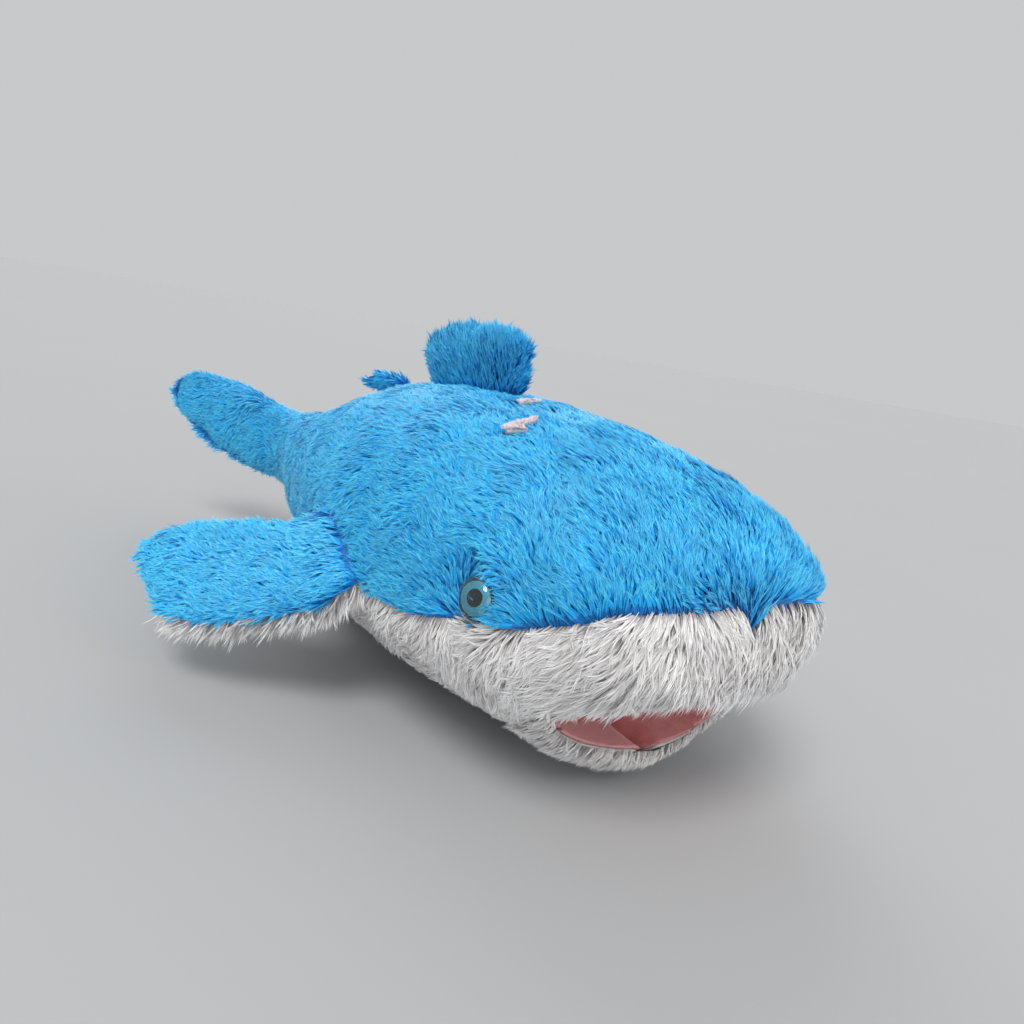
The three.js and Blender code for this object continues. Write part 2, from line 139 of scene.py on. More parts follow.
def add_sun(name, toward, strength, spread, color=(1, 1, 1)):
    data = bpy.data.lights.new(name, "SUN")
    data.energy = strength
    data.angle = math.radians(spread)
    data.color = color
    lamp = bpy.data.objects.new(name, data)
    lamp.location = Vector(toward)
    lamp.rotation_euler = Vector(toward).to_track_quat("Z", "Y").to_euler()
    SCENE.collection.objects.link(lamp)


add_camera()
add_sun("key", (-0.55, -0.35, 1.05), 1.55, 28, (1, 0.99, 0.97))
add_sun("fill", (0.7, -1.0, 0.5), 0.45, 50)
add_sun("rim", (0.4, 1.0, 0.8), 0.8, 40)
add_sun("low", (-0.35, -1.1, 0.22), 0.7, 40)
world = bpy.data.worlds.new("world")
world.use_nodes = True
world.node_tree.nodes["Background"].inputs["Color"].default_value = (0.86, 0.87, 0.88, 1)
world.node_tree.nodes["Background"].inputs["Strength"].default_value = 0.67
SCENE.world = world
SCENE.view_settings.view_transform = "Standard"


# ---------------------------------------------------------------- materials
def make_material(name, color, roughness, **sockets):
    made = bpy.data.materials.new(name)
    made.use_nodes = True
    shader = made.node_tree.nodes["Principled BSDF"]
    shader.inputs["Base Color"].default_value = (*color, 1)
    shader.inputs["Roughness"].default_value = roughness
    for key, value in sockets.items():
        shader.inputs[key.replace("_", " ")].default_value = value
    return made


def node(tree, kind, links=(), **values):
    """A node with input values set by name, and links from other nodes' sockets."""
    made = tree.nodes.new(kind)
    for key, value in values.items():
        if key in made.inputs:
            made.inputs[key].default_value = value
        else:
            setattr(made, key, value)
    for socket, source in links:
        tree.links.new(source, made.inputs[socket])
    return made


def woven(name, dark, light, roughness, scale, bump, **sockets):
    """Cloth: two tones mixed by noise, rough where the noise is high, and a fine bump."""
    made = make_material(name, light, roughness, **sockets)
    tree = made.node_tree
    shader = tree.nodes["Principled BSDF"]
    place = node(tree, "ShaderNodeTexCoord").outputs["Object"]
    patches = node(tree, "ShaderNodeTexNoise", [("Vector", place)], Scale=scale * 0.12, Detail=3.0)
    grain = node(tree, "ShaderNodeTexNoise", [("Vector", place)], Scale=scale, Detail=6.0)
    both = [(0, patches.outputs["Fac"]), (1, grain.outputs["Fac"])]
    total = node(tree, "ShaderNodeMath", both, operation="ADD")
    mean = node(tree, "ShaderNodeMath", [(0, total.outputs[0])], operation="MULTIPLY")
    mean.inputs[1].default_value = 0.5
    ramp = node(tree, "ShaderNodeValToRGB", [("Fac", mean.outputs[0])])
    ramp.color_ramp.elements[0].position = 0.35
    ramp.color_ramp.elements[0].color = (*dark, 1)
    ramp.color_ramp.elements[1].position = 0.65
    ramp.color_ramp.elements[1].color = (*light, 1)
    tree.links.new(ramp.outputs["Color"], shader.inputs["Base Color"])
    spread = node(tree, "ShaderNodeMapRange", [("Value", grain.outputs["Fac"])])
    spread.inputs["To Min"].default_value = roughness - 0.1
    spread.inputs["To Max"].default_value = min(1, roughness + 0.1)
    tree.links.new(spread.outputs["Result"], shader.inputs["Roughness"])
    raised = node(tree, "ShaderNodeBump", [("Height", grain.outputs["Fac"])], Strength=bump, Distance=0.0008)
    tree.links.new(raised.outputs["Normal"], shader.inputs["Normal"])
    return made


def fibre(name, color, roughness):
    """Shiny polyester fibre: a fine noise tints its highlights."""
    made = make_material(name, color, roughness, Sheen_Weight=0.12, Sheen_Roughness=0.4)
    tree = made.node_tree
    place = node(tree, "ShaderNodeTexCoord").outputs["Object"]
    grain = node(tree, "ShaderNodeTexNoise", [("Vector", place)], Scale=900.0, Detail=2.0)
    ramp = node(tree, "ShaderNodeValToRGB", [("Fac", grain.outputs["Fac"])])
    ramp.color_ramp.elements[0].color = (*[0.4 + 0.6 * c for c in color], 1)
    ramp.color_ramp.elements[1].color = (1, 1, 1, 1)
    tree.links.new(ramp.outputs["Color"], tree.nodes["Principled BSDF"].inputs["Specular Tint"])
    return made


def shades(name, deep, base, tip, roughness):
    """Materials of a pile, in rows for root, middle and tip, each a little darker, plain and lighter. The
    darker root row is painted shade deep in the pile, and the lighter tip row is painted light on the tips.
    """
    rows = []
    for part, color in (("root", deep), ("middle", base), ("tip", tip)):
        for tone, gain in (("dark", 0.84), ("plain", 1.0), ("light", 1.16)):
            tinted = [min(0.95, c * gain) for c in color]
            rows.append(fibre(f"{name}_{part}_{tone}", tinted, roughness))
    return rows


# The root colour of each pile is painted shade deep in the pile and the tip colour is painted light on the
# tips; the middle colour is the fibre's own.
BLUE = shades("blue_pile", (0.008, 0.22, 0.64), (0.012, 0.42, 0.90), (0.07, 0.58, 0.96), 0.38)
WHITE = shades("white_pile", (0.60, 0.575, 0.57), (0.76, 0.745, 0.74), (0.88, 0.87, 0.87), 0.45)
MARK_PILE = shades("mark_pile", (0.50, 0.44, 0.50), (0.66, 0.58, 0.63), (0.78, 0.72, 0.76), 0.5)
# The backings have the fabric's own blue and white, darkened as painted shade at the foot of the pile.
SKIN_BLUE = woven(
    "blue_backing", (0.008, 0.13, 0.42), (0.016, 0.22, 0.6), 0.8, 900.0, 0.5, Sheen_Weight=0.2,
)
SKIN_WHITE = woven(
    "white_backing", (0.52, 0.50, 0.49), (0.68, 0.66, 0.65), 0.85, 900.0, 0.5, Sheen_Weight=0.2,
)
PINK = woven(
    "pink_velour", (0.64, 0.23, 0.235), (0.76, 0.33, 0.33), 0.85, 1600.0, 0.6,
    Sheen_Weight=0.5, Sheen_Roughness=0.4,
)
FELT = woven(
    "mark_felt", (0.58, 0.48, 0.52), (0.72, 0.62, 0.66), 0.9, 1500.0, 0.5, Sheen_Weight=0.2,
)
FLOOR = woven(
    "floor", (0.43, 0.436, 0.444), (0.44, 0.446, 0.454), 0.9, 6.0, 0.02, Specular_IOR_Level=0.1,
)
RING_BLACK = woven(
    "eye_ring", (0.002, 0.002, 0.003), (0.005, 0.005, 0.006), 0.5, 700.0, 0.05,
    Specular_IOR_Level=0.15,
)
IRIS = woven("eye_iris", (0.015, 0.15, 0.22), (0.05, 0.32, 0.42), 0.45, 260.0, 0.1)
PUPIL = woven(
    "eye_pupil", (0.004, 0.004, 0.005), (0.016, 0.015, 0.016), 0.4, 500.0, 0.03,
    Specular_IOR_Level=0.2,
)
CLEAR = make_material(
    "eye_clear", (0.9, 0.97, 1.0), 0.03,
    Transmission_Weight=1.0, IOR=1.03, Coat_Weight=0.7, Coat_Roughness=0.03,
)
WASHER = woven("eye_washer", (0.7, 0.7, 0.7), (0.8, 0.8, 0.8), 0.5, 500.0, 0.1)

# ---------------------------------------------------------------- the body's surface
def smooth_rows(rows, steps):
    """Rows smoothed with a Catmull-Rom curve through each of them."""
    padded = np.vstack([rows[:1], rows, rows[-1:]])
    t = np.linspace(0, 1, steps, endpoint=False)[:, None]
    out = []
    for i in range(len(rows) - 1):
        p0, p1, p2, p3 = padded[i:i + 4]
        square = 2 * p0 - 5 * p1 + 4 * p2 - p3
        cube = 3 * p1 - p0 - 3 * p2 + p3
        out.append(0.5 * (2 * p1 + (p2 - p0) * t + square * t**2 + cube * t**3))
    out.append(rows[-1:])
    return np.vstack(out)


BODY = smooth_rows(BODY_ROWS, 12)
SEAM = smooth_rows(SEAM_LINE, 12)
MOUTH = smooth_rows(MOUTH_ROWS, 10)


def y_at(s):
    """The frame's y at a distance s from the snout."""
    return s - LENGTH / 2


def spine_x(s):
    """How far the spine has curved to the side at s."""
    return -TAIL_LEAN * np.clip((s - LEAN_START) / (LENGTH - LEAN_START), 0, None) ** 1.5


def on_spine(s, lateral, z):
    """Points at that distance to the left of the spine, square to it, and at height z."""
    slope = spine_x(s + 0.5) - spine_x(s - 0.5)
    size = np.sqrt(1 + slope**2)
    return np.stack([spine_x(s) + lateral / size, y_at(s) - lateral * slope / size, z + 0 * s], -1)


def body_at(s, angle, inset=0.0):
    """Points of the body's surface. Angle 0 is its left side, 90 degrees its top."""
    half, top, bottom, wide = (np.interp(s, BODY[:, 0], BODY[:, i]) for i in (1, 2, 3, 4))
    end = inset * (np.clip(1 - s / 60, 0, None) - np.clip(1 - (LENGTH - s) / 60, 0, None))
    c, n = np.cos(angle), np.sin(angle)
    power = np.where(n > 0, UPPER_FULLNESS, LOWER_FULLNESS)
    lateral = np.maximum(half - inset, 0.4) * np.sign(c) * np.abs(c) ** power
    rise = np.where(n > 0, np.maximum(top - inset - wide, 0.4), np.maximum(wide - bottom - inset, 0.4))
    z = wide + rise * np.sign(n) * np.abs(n) ** power
    return on_spine(s + end, lateral, np.maximum(z, inset + 0.3))


def unit(v):
    return v / np.maximum(np.linalg.norm(v, axis=-1, keepdims=True), 1e-9)


def body_frame(s, angle):
    """Points of the body's surface, with the unit vectors outwards and towards the tail."""
    p = body_at(s, angle)
    step = np.minimum(0.7, s * 0.8)
    along = body_at(np.minimum(s + step, LENGTH), angle) - body_at(s - step, angle)
    round_ = body_at(s, angle + 0.03) - body_at(s, angle - 0.03)
    out = unit(np.cross(round_, along))
    middle = on_spine(s, 0 * s, np.interp(s, BODY[:, 0], BODY[:, 4]))
    out *= np.sign(np.sum(out * (p - middle), -1, keepdims=True) + 1e-9)
    return p, out, unit(along)


def seam_angle(s):
    """The angle above the left side where the white plush ends."""
    z = np.interp(s, SEAM[:, 0], SEAM[:, 1])
    top, bottom, wide = (np.interp(s, BODY[:, 0], BODY[:, i]) for i in (2, 3, 4))
    room = np.where(z > wide, np.maximum(top - wide, 1), np.maximum(wide - bottom, 1))
    share = np.clip((z - wide) / room, -0.98, 0.98)
    power = np.where(z > wide, UPPER_FULLNESS, LOWER_FULLNESS)
    return np.sign(share) * np.arcsin(np.abs(share) ** (1 / power))


# ---------------------------------------------------------------- meshes
def new_mesh(name, verts, faces, materials, index=None, smooth=True):
    """An object made of vertices in millimetres."""
    mesh = bpy.data.meshes.new(name)
    mesh.from_pydata((np.asarray(verts) * MM).tolist(), [], [tuple(int(i) for i in f) for f in faces])
    for m in materials:
        mesh.materials.append(m)
    if index is not None:
        mesh.polygons.foreach_set("material_index", np.asarray(index, np.int32))
    mesh.polygons.foreach_set("use_smooth", np.full(len(mesh.polygons), smooth))
    mesh.update()
    made = bpy.data.objects.new(name, mesh)
    SCENE.collection.objects.link(made)
    return made


def grid_faces(rings, count):
    """Faces between rings of count points each."""
    faces = []
    for i in range(rings - 1):
        for j in range(count):
            a, b = i * count + j, i * count + (j + 1) % count
            faces.append((a, b, b + count, a + count))
    return faces


def closed_tube(rings, split):
    """Vertices and faces of a tube with a fan at each end. The first split faces of a ring get
    material 0 and the rest 1."""
    count = len(rings[0])
    verts = np.vstack(rings + [rings[0].mean(0, keepdims=True), rings[-1].mean(0, keepdims=True)])
    faces = grid_faces(len(rings), count)
    index = [0 if f[0] % count < split else 1 for f in faces]
    last = (len(rings) - 1) * count
    for j in range(count):
        faces.append((j, len(verts) - 2, (j + 1) % count))
        faces.append((last + (j + 1) % count, len(verts) - 1, last + j))
        index += [0 if j < split else 1] * 2
    return verts, faces, index


def skin_angles(s, above, below):
    """Angles round one section with the seam on two of them."""
    seam = float(seam_angle(np.array([s]))[0])
    top = np.linspace(seam, math.pi - seam, above, endpoint=False)
    under = np.linspace(math.pi - seam, 2 * math.pi + seam, below, endpoint=False)
    return np.concatenate([top, under])


def body_skin(name, stations, above, below, inset, materials):
    """The body over those stations as a closed mesh, its upper and lower faces in two materials."""
    count = above + below
    rings = [body_at(np.full(count, s), skin_angles(s, above, below), inset) for s in stations]
    verts, faces, index = closed_tube(rings, above)
    return new_mesh(name, verts, faces, materials, index)


def mouth_solid(name, grow):
    """The mouth pocket, larger all round by grow, with a fold along its floor."""
    count = 96
    angle = np.linspace(0, 2 * math.pi, count, endpoint=False)
    rings = []
    for s, half, top, bottom, corner in MOUTH:
        rise = np.sin(angle)
        reach = np.where(rise > 0, top + grow - corner, corner - bottom + grow)
        x = (half + grow) * np.cos(angle)
        fold = 5.5 * np.exp(-((x + 3) / 3.0) ** 2) * np.clip((s - 24) / 14, 0, 1) * (rise < 0)
        z = corner + reach * rise - fold * (top - bottom) / 18
        rings.append(np.stack([x, y_at(s) + 0 * x, z], -1))
    rings.append(rings[-1] + np.array([0, grow + 0.1, 0]))
    verts, faces, _ = closed_tube(rings, count)
    return new_mesh(name, verts, faces, [PINK])


def jaw_solid(name, grow):
    """The block that the lower lip is cut from, larger all round by grow."""
    rear = JAW_BACK + grow
    outline = [(-20, -40), (rear, -40), (rear, JAW_TOP[0][1] + grow)] + [(s, z + grow) for s, z in JAW_TOP]
    wide = JAW_HALF_WIDTH + grow
    verts = [(x, y_at(s), z) for x in (-wide, wide) for s, z in outline]
    n = len(outline)
    faces = [tuple(range(n)), tuple(range(2 * n - 1, n - 1, -1))]
    faces += [(i + n, (i + 1) % n + n, (i + 1) % n, i) for i in range(n)]
    return new_mesh(name, verts, faces, [SKIN_WHITE], smooth=False)


def make_outward(obj):
    """Turns an object's faces outwards."""
    work = bmesh.new()
    work.from_mesh(obj.data)
    bmesh.ops.recalc_face_normals(work, faces=work.faces)
    work.to_mesh(obj.data)
    work.free()


def boolean(obj, other, operation):
    """Applies a boolean to the object's mesh."""
    modifier = obj.modifiers.new("cut", "BOOLEAN")
    modifier.object = other
    modifier.operation = operation
    modifier.solver = "EXACT"
    bpy.context.view_layer.update()
    evaluated = obj.evaluated_get(bpy.context.evaluated_depsgraph_get())
    made = bpy.data.meshes.new_from_object(evaluated)
    obj.modifiers.clear()
    obj.data = made


def copy_of(obj, name):
    made = obj.copy()
    made.data = obj.data.copy()
    made.name = name
    SCENE.collection.objects.link(made)
    return made


def keep_faces(obj, test):
    """Drops the faces that fail the test."""
    work = bmesh.new()
    work.from_mesh(obj.data)
    gone = [f for f in work.faces if not test(f)]
    bmesh.ops.delete(work, geom=gone, context="FACES")
    work.to_mesh(obj.data)
    work.free()


def remove(obj):
    bpy.data.objects.remove(obj)


def stations(rows, low, high, spacing):
    """Sections of the smoothed table, thinned to at least the spacing, with both ends kept."""
    kept = [low]
    for s in rows[:, 0]:
        if kept[-1] + spacing <= s < high - spacing / 2:
            kept.append(float(s))
    return kept + [high]


# ---------------------------------------------------------------- the pile
def waves(p, seed, scale):
    """A smooth random field from -1 to 1 at points p."""
    own = np.random.default_rng(seed)
    total = np.zeros(len(p))
    for _ in range(6):
        direction = unit(own.normal(size=3)) / scale
        total += np.sin(p @ direction * 2 * math.pi * own.uniform(0.6, 1.5) + own.uniform(0, 6.3))
    return np.clip(total / 3, -1, 1)


def turned(v, axis, angle):
    """Each v turned by its angle about its axis, which is square to it."""
    return v * np.cos(angle)[:, None] + np.cross(axis, v) * np.sin(angle)[:, None]


def strands(root, out, flow, length, lift, droop, curl, strand_count, spread, width, close):
    """Ribbons of tufts: every tuft has strands that start apart and close towards its tip.

    lift and droop are the angles above the surface at root and tip; curl turns the tuft sideways.
    Returns the vertices as (strand, point, xyz), seven points to a strand."""
    k = strand_count
    tufts = len(root)
    root, out, flow = (np.repeat(v, k, 0) for v in (root, out, flow))
    length, lift, droop, curl = (np.repeat(v, k) for v in (length, lift, droop, curl))
    n = tufts * k
    across = np.cross(out, flow)
    polar = rng.uniform(0, 2 * math.pi, n)
    far = spread * np.sqrt(rng.uniform(0, 1, n))
    offset = flow * (far * np.cos(polar))[:, None] + across * (far * np.sin(polar))[:, None]
    length = length * rng.uniform(0.82, 1.08, n)
    wobble = rng.normal(0, 0.1, n)
    point = root.copy()
    centre = [root + offset]
    headings = []
    steps = 9
    for i in range(steps):
        t = (i + 0.5) / steps
        rise = lift * (1 - t) + droop * t
        heading = turned(flow, out, (curl + wobble) * t)
        heading = heading * np.cos(rise)[:, None] + out * np.sin(rise)[:, None]
        point = point + heading * (length / steps)[:, None]
        if (i + 1) % (steps // 3) == 0:
            centre.append(point + offset * (1 - close * (i + 1) / steps))
            headings.append(heading)
    headings = [headings[0]] + headings
    roll = rng.normal(0, 0.4, n)
    taper = [0.75, 1.0, 0.72]
    points = []
    for i in range(3):
        side = unit(np.cross(headings[i], out))
        lifted = unit(np.cross(side, headings[i]))
        side = side * np.cos(roll)[:, None] + lifted * np.sin(roll)[:, None]
        half = side * (width * taper[i] / 2)
        points += [centre[i] - half, centre[i] + half]
    points.append(centre[3])
    return np.stack(points, 1)


def pile_mesh(name, points, shade, tones):
    """One mesh of ribbons. shade is each strand's tone, 0 to 2."""
    n = len(points)
    verts = points.reshape(-1, 3).astype(np.float64)
    verts[:, 2] = np.maximum(verts[:, 2], FLOOR_GAP)
    base = np.arange(n)[:, None] * 7
    loops = (base + np.array([[0, 1, 3, 2, 2, 3, 5, 4, 4, 5, 6]])).ravel()
    starts = (np.arange(n)[:, None] * 11 + np.array([[0, 4, 8]])).ravel()
    totals = np.tile([4, 4, 3], n)
    mesh = bpy.data.meshes.new(name)
    mesh.vertices.add(len(verts))
    mesh.vertices.foreach_set("co", (verts * MM).astype(np.float32).ravel())
    mesh.loops.add(len(loops))
    mesh.loops.foreach_set("vertex_index", loops.astype(np.int32))
    mesh.polygons.add(3 * n)
    mesh.polygons.foreach_set("loop_start", starts.astype(np.int32))
    mesh.polygons.foreach_set("loop_total", totals.astype(np.int32))
    for m in tones:
        mesh.materials.append(m)
    # Root faces take the row of painted shade, middle faces the plain row, and tip faces the row of painted
    # light.
    parts = np.tile([0, 3, 6], n) + np.repeat(shade, 3)
    mesh.polygons.foreach_set("material_index", parts.astype(np.int32))
    mesh.polygons.foreach_set("use_smooth", np.ones(3 * n, bool))
    mesh.update(calc_edges=True)
    made = bpy.data.objects.new(name, mesh)
    SCENE.collection.objects.link(made)
    return made


def scatter_body(low, high, density, angle_from, angle_to):
    """Random points on the body, by area. The angles are functions of s; density is tufts per mm2."""
    even = np.linspace(0, 1, int((high - low) / 1.5) + 8)
    s_edge = low + (high - low) * (even**2 if low < 1 else even)
    columns = 60
    share = np.linspace(0, 1, columns + 1)
    s_mid = (s_edge[:-1] + s_edge[1:]) / 2
    a0, a1 = angle_from(s_mid), angle_to(s_mid)
    s_grid, f_grid = np.meshgrid(s_mid, (share[:-1] + share[1:]) / 2, indexing="ij")
    a_grid = a0[:, None] + (a1 - a0)[:, None] * f_grid
    s_flat, a_flat = s_grid.ravel(), a_grid.ravel()
    ds = np.repeat(np.diff(s_edge), columns)
    da = np.repeat(a1 - a0, columns) / columns
    ahead = body_at(np.maximum(s_flat - ds / 2, 0), a_flat)
    along = body_at(np.minimum(s_flat + ds / 2, LENGTH), a_flat) - ahead
    round_ = body_at(s_flat, a_flat + da / 2) - body_at(s_flat, a_flat - da / 2)
    area = np.linalg.norm(np.cross(along, round_), axis=-1)
    want = area * density
    number = np.floor(want + rng.uniform(0, 1, len(want))).astype(int)
    cell = np.repeat(np.arange(len(want)), number)
    s = s_flat[cell] + rng.uniform(-0.5, 0.5, len(cell)) * ds[cell]
    a = a_flat[cell] + rng.uniform(-0.5, 0.5, len(cell)) * da[cell]
    return np.clip(s, 0.003, LENGTH - 0.3), a


def eye_frame(side):
    """Where an eye sits on the body, and the direction outwards there."""
    s = np.array([EYE["s"]], float)
    top, wide = (np.interp(s, BODY[:, 0], BODY[:, i]) for i in (2, 4))
    angle = np.arcsin(((EYE["height"] - wide) / (top - wide)) ** (1 / UPPER_FULLNESS))
    if side < 0:
        angle = math.pi - angle
    p, out, _ = body_frame(s, angle)
    return p[0], out[0]


EYES = {"right": eye_frame(-1), "left": eye_frame(1)}


def tangent(v, out):
    """The direction of v along the surface whose outward direction is out."""
    return unit(v - out * np.sum(v * out, -1, keepdims=True))


def inside_mouth(p, margin):
    """Whether points lie in the mouth pocket, made larger by the margin."""
    s = p[:, 1] + LENGTH / 2
    half, top, bottom, corner = (np.interp(s, MOUTH[:, 0], MOUTH[:, i]) for i in (1, 2, 3, 4))
    z = p[:, 2] - corner
    reach = np.where(z > 0, top - corner, corner - bottom) + margin
    return ((p[:, 0] / (half + margin)) ** 2 + (z / reach) ** 2 < 1) & (s < 71 + margin)


def on_chin(p):
    """Whether points lie under the mouth, where the plush is short fluff."""
    s = p[:, 1] + LENGTH / 2
    half, corner = (np.interp(s, MOUTH[:, 0], MOUTH[:, i]) for i in (1, 4))
    return (s < 68) & (p[:, 2] < corner - 1) & (np.abs(p[:, 0]) < half + 6)


def in_jaw(p):
    """Whether points lie on the lower lip's own block."""
    s = p[:, 1] + LENGTH / 2
    top = np.interp(s, [q[0] for q in reversed(JAW_TOP)], [q[1] for q in reversed(JAW_TOP)])
    return (np.abs(p[:, 0]) < JAW_HALF_WIDTH) & (s < JAW_BACK) & (p[:, 2] < top)


def body_pile(s, angle, white):
    """The tufts of the body at those points: root, direction and shape."""
    p, out, back = body_frame(s, angle)
    keep = ~inside_mouth(p - out * BACKING, LINING + 0.1)
    for at, _ in EYES.values():
        keep &= np.linalg.norm(p - at - [0, 1.8, -1.4], axis=1) > EYE["radius"] - 0.6
    s, p, out, back = s[keep], p[keep], out[keep], back[keep]
    n = len(p)
    # The part of straight down that lies in the surface, which fades out on the flat of the back.
    down = np.array([[0, 0, -1.0]]) + out * out[:, 2:3]
    side = np.sign(p[:, 0])[:, None] * np.array([[1.0, 0, 0]])
    face = np.clip(1.4 - s / 80, 0, 1)
    nose = np.clip(1 - s / 24, 0, 1)
    under_seam = np.interp(s, SEAM[:, 0], SEAM[:, 1]) - p[:, 2]
    length = np.full(n, BODY_TUFT) * (1 + 0.12 * waves(p, 9, 20))
    lift = np.full(n, 0.7) + 0.15 * waves(p, 8, 16)
    length *= 1 - 0.2 * np.clip((s - 345) / 22, 0, 1)
    droop = np.full(n, 0.06)
    if white:
        backwards = (0.35 + 0.5 * np.clip((s - 60) / 40, 0, 1)) * (0.4 + 0.6 * np.clip(under_seam / 14, 0, 1))
        flow = back * backwards[:, None] + down * 0.95 + side * (0.2 * (1 - nose))[:, None]
        # The upper lip carries the longest, shaggiest pile, which hangs a little over the mouth.
        half, top, corner = (np.interp(s, MOUTH[:, 0], MOUTH[:, i]) for i in (1, 2, 4))
        lip = np.clip(1 - s / 80, 0, 1) * np.clip((p[:, 2] - 30) / 10, 0, 1) * np.clip(under_seam / 12, 0, 1)
        length = length - 1.5 * np.clip(1 - s / 80, 0, 1) + LIP_TUFT * lip
        lift += 0.25 * lip
        droop -= 0.35 * lip
        edge = corner + (top - corner) * np.sqrt(np.clip(1 - (p[:, 0] / half) ** 2, 0, 1))
        hang = 4.5 + 1.05 * np.clip(p[:, 2] - edge, 0, None)
        above_mouth = (np.abs(p[:, 0]) < half + 4) & (p[:, 2] > corner - 4) & (s < 60)
        length = np.where(above_mouth, np.minimum(length, hang), length)
    else:
        # The nap runs from the nose up and over the head, and back and down along the body.
        sink = 0.35 - 0.95 * face
        flow = back * 0.75 + down * sink[:, None]
    flow = tangent(flow, out)
    flow = turned(flow, out, 0.5 * waves(p, 3, 38) + 0.35 * waves(p, 5, 13) + rng.normal(0, 0.14, n))
    for at, normal in EYES.values():
        apart = p - at
        reach = np.linalg.norm(apart, axis=1)
        near = np.exp(-((np.maximum(reach - 7, 0) / 7) ** 2))
        # The pile circles the eye, and what is ahead of it and above leans over its rim.
        ahead = near * np.clip(0.2 - apart[:, 1] / 6 + 0.3 * apart[:, 2] / 6, 0, 1)
        ring = tangent(np.cross(apart, np.broadcast_to(normal, apart.shape)) * np.sign(-normal[0]), out)
        over = tangent(-apart + [0, 3, 2], out)
        ring = ring * (1 - 0.75 * ahead)[:, None] + over * (0.75 * ahead)[:, None]
        flow = tangent(flow * (1 - near)[:, None] + ring * near[:, None], out)
        length = length * (1 - 0.3 * near + 0.5 * ahead)
        lift = lift * (1 - 0.3 * near + 0.75 * ahead)
    return p, out, flow, length, lift, droop


def chin_fluff(s, angle):
    """Short tufts that lie away from the mouth."""
    p, out, _ = body_frame(s, angle)
    keep = ~inside_mouth(p - out * CHIN_BACKING, LINING + 0.2) & on_chin(p)
    s, p, out = s[keep], p[keep], out[keep]
    half, bottom, corner = (np.interp(s, MOUTH[:, 0], MOUTH[:, i]) for i in (1, 3, 4))
    away = np.stack([p[:, 0] / half**2, 0 * s, (p[:, 2] - corner) / (corner - bottom) ** 2], -1)
    from_rim = corner - bottom
    from_rim = from_rim * (np.sqrt((p[:, 0] / half) ** 2 + ((p[:, 2] - corner) / from_rim) ** 2) - 1)
    flow = tangent(unit(away) + [0, 0.5, 0], out)
    flow = turned(flow, out, 0.5 * waves(p, 3, 20) + rng.normal(0, 0.3, len(p)))
    length = 4.2 + np.clip(from_rim / 3, 0, 3.5)
    lift = 0.8 + 0.8 * np.exp(-np.clip(from_rim, 0, None) / 1.5)
    return p + out * (BACKING - CHIN_BACKING), out, flow, length, lift, np.full(len(p), 0.4)


def grow(name, place, tones, strand_count, spread, width, close=0.88):
    """A pile on given roots: place is (root, out, flow, length, lift, droop)."""
    root, out, flow, length, lift, droop = place
    n = len(root)
    length = length * rng.uniform(0.8, 1.15, n)
    root = root - out * (BACKING + 0.5 * waves(root, 41, 22) + 0.3 * waves(root, 42, 9))[:, None]
    patch = waves(root, 21, 30) * 0.5 + waves(root, 22, 9) * 0.6
    tone = np.clip(np.round(1 + patch + rng.normal(0, 0.45, n)), 0, 2).astype(int)
    curl = rng.normal(0, 0.35, n)
    points = strands(root, out, flow, length, lift, droop, curl, strand_count, spread, width, close)
    own = np.repeat(tone, strand_count)
    shift = rng.choice([-1, 0, 0, 0, 1], len(own))
    return pile_mesh(name, points, np.clip(own + shift, 0, 2), tones)


# ---------------------------------------------------------------- skins of the body, jaw and mouth
CUT = mouth_solid("mouth_cut", LINING + 0.3)
LINER = mouth_solid("mouth_liner", LINING)
HOLLOW = mouth_solid("mouth_hollow", 0.0)
JAW = jaw_solid("jaw_block", -0.2)
JAW_ROOM = jaw_solid("jaw_room", 0.4)
coarse = stations(BODY, 0, TAIL_END, 2.5)
TRIM = body_skin("lip_trim", coarse, 64, 48, BACKING - 0.1, [PINK, PINK])
CHIN_TRIM = body_skin("chin_trim", coarse, 64, 48, CHIN_BACKING + 0.9, [PINK, PINK])
fine = stations(BODY, 0, TAIL_END, 2.0)
WHOLE = body_skin("whole", fine, 72, 64, BACKING, [SKIN_BLUE, SKIN_WHITE])
front = stations(BODY, 0, 100, 2.0)
jaw_skin = body_skin("jaw_skin", front, 72, 64, CHIN_BACKING, [SKIN_WHITE, SKIN_WHITE])
for tool in (CUT, LINER, HOLLOW, JAW, JAW_ROOM, TRIM, CHIN_TRIM, WHOLE, jaw_skin):
    make_outward(tool)

boolean(jaw_skin, JAW, "INTERSECT")
boolean(jaw_skin, CUT, "DIFFERENCE")

boolean(WHOLE, JAW_ROOM, "DIFFERENCE")
boolean(WHOLE, CUT, "DIFFERENCE")


def spine_at(s, height=0.0):
    """The point on the spine at s, in millimetres."""
    return on_spine(np.array([s]), np.array([0.0]), np.array([height]))[0]


END_NORMAL = Vector(spine_at(TAIL_END + 1.0) - spine_at(TAIL_END - 1.0)).normalized()
CAP_START = float(spine_at(TAIL_END)[1] - 12) * MM


def not_end_cap(face):
    return face.normal.dot(END_NORMAL) < 0.97 or face.calc_center_median().y < CAP_START


keep_faces(WHOLE, not_end_cap)
blue_skin = copy_of(WHOLE, "blue_skin")
keep_faces(blue_skin, lambda f: f.material_index == 0)
white_skin = copy_of(WHOLE, "white_skin")
keep_faces(white_skin, lambda f: f.material_index != 0)

